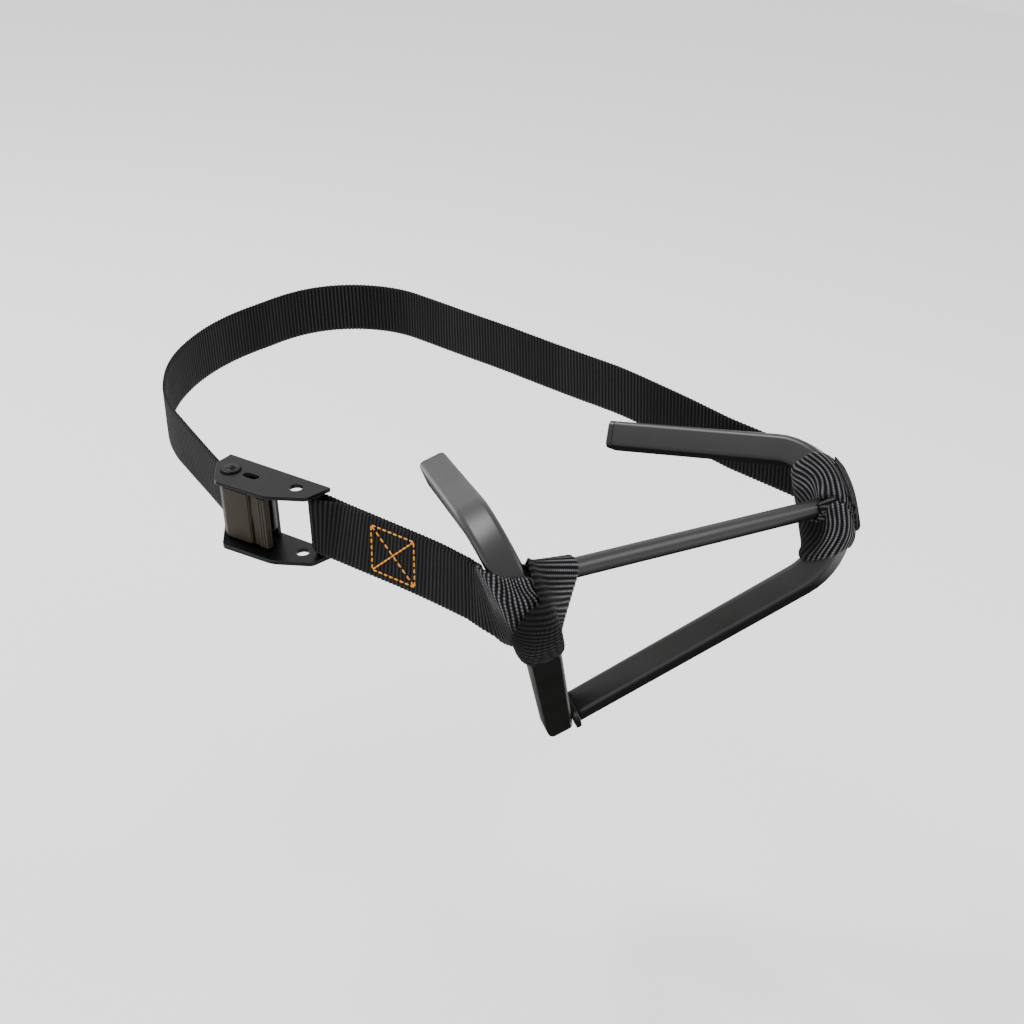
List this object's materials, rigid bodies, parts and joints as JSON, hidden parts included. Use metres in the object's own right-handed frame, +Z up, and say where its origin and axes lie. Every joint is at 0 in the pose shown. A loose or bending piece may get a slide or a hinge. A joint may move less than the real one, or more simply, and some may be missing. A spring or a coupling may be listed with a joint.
{
  "type": "strap-on climbing step",
  "caption": "Climbing tree step: a folded frame of bent square tube with prongs and a cross rod, held to the trunk by a webbing strap with a cam buckle.",
  "frame": {"origin": "middle of the lower trunk contact, the end face of the plug at the foot of the frame", "axes": "+X along the cross rod, +Y towards the trunk, +Z up and square to the plane of the strap loop"},
  "size_m": [0.2401, 0.327, 0.1574],
  "materials": {
    "powder_coat": "satin powder coat",
    "black_plastic": "matte",
    "black_webbing": "woven",
    "black_thread": "thread",
    "orange_thread": "thread",
    "buckle_black": "black oxide, worn satin",
    "lever_bronze": "satin",
    "spring_steel": "drawn wire"
  },
  "bodies": {
    "frame": {"left_side_tube": "powder_coat", "right_side_tube": "powder_coat", "cross_rod": "powder_coat", "rod_weld_left": "powder_coat", "rod_weld_right": "powder_coat", "corner_weld": "powder_coat", "left_prong_plug": "black_plastic", "right_prong_plug": "black_plastic", "lower_end_plug": "black_plastic"},
    "strap": {"left_hitch": "black_webbing", "right_hitch": "black_webbing", "long_strap": "black_webbing", "buckle_sling": "black_webbing", "eye_bar_tack": "black_thread", "outer_box_stitch": "orange_thread", "inner_box_stitch": "orange_thread", "buckle_frame": "buckle_black", "anchor_bar": "buckle_black", "cam_pivot_pin": "buckle_black", "cam_spring": "spring_steel"},
    "lever": {"cam_lever": "lever_bronze"},
    "tail": {"strap_tail": "black_webbing"}
  },
  "joints": [
    {"name": "strap_swing", "type": "hinge", "parent": "frame", "child": "strap", "pos_m": [-0.00455, -0.07224, 0.12866], "axis": [1, 0, 0], "range_deg": [-40, 12], "stiffness_Nm_per_rad": 4, "deforming": ["left_hitch", "right_hitch"]},
    {"name": "cam_lever_open", "type": "hinge", "parent": "strap", "child": "lever", "pos_m": [-0.1324, 0.06941, 0.1077], "axis": [0.1392, 0, -0.9903], "range_deg": [0, 70], "stiffness_Nm_per_rad": 0.02},
    {"name": "tail_feed", "type": "slide", "parent": "strap", "child": "tail", "axis": [0.3549, -0.9336, 0.0499], "range_m": [0, 0.012]}
  ]
}
